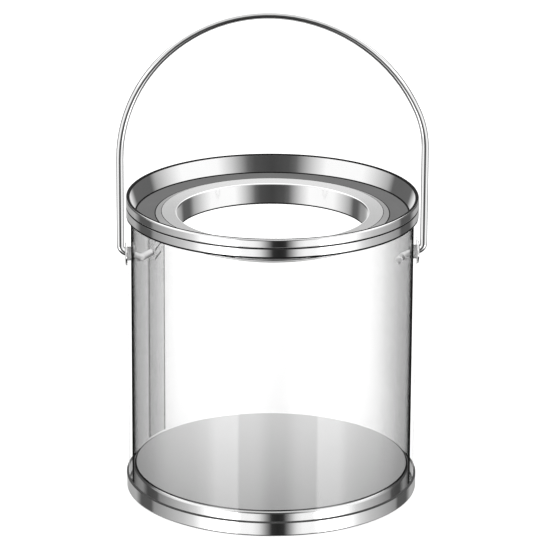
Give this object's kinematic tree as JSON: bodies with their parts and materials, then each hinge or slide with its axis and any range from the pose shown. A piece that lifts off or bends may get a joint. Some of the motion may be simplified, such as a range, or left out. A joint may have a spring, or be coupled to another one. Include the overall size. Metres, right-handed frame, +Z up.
{
  "type": "paint can",
  "caption": "Clear-walled round paint can with bright metal seamed ends, an open friction neck in the top and a wire bail that swings in riveted eyelets.",
  "frame": {"origin": "centre of the can's underside, on the surface it stands on", "axes": "+Z up the can's axis, +X along the bail's swing axis to the right eyelet, -Y the front"},
  "size_m": [0.0808, 0.0764, 0.1285],
  "materials": {
    "clear_plastic": "clear, glossy",
    "bright_tinplate": "bright polished",
    "sealing_compound": "matt",
    "eyelet_metal": "bright",
    "bright_wire": "bright plated"
  },
  "bodies": {
    "can": {"clear_body": "clear_plastic", "top_collar": "bright_tinplate", "friction_ring": "bright_tinplate", "top_gasket": "sealing_compound", "bottom_end": "bright_tinplate", "bottom_gasket": "sealing_compound", "left_eyelet": "eyelet_metal", "right_eyelet": "eyelet_metal", "left_washer": "eyelet_metal", "right_washer": "eyelet_metal"},
    "bail": {"bail": "bright_wire"}
  },
  "joints": [
    {"name": "bail_swing", "type": "hinge", "parent": "can", "child": "bail", "pos_m": [0, 0, 0.064], "axis": [1, 0, 0], "range_deg": [-142, 142]}
  ]
}
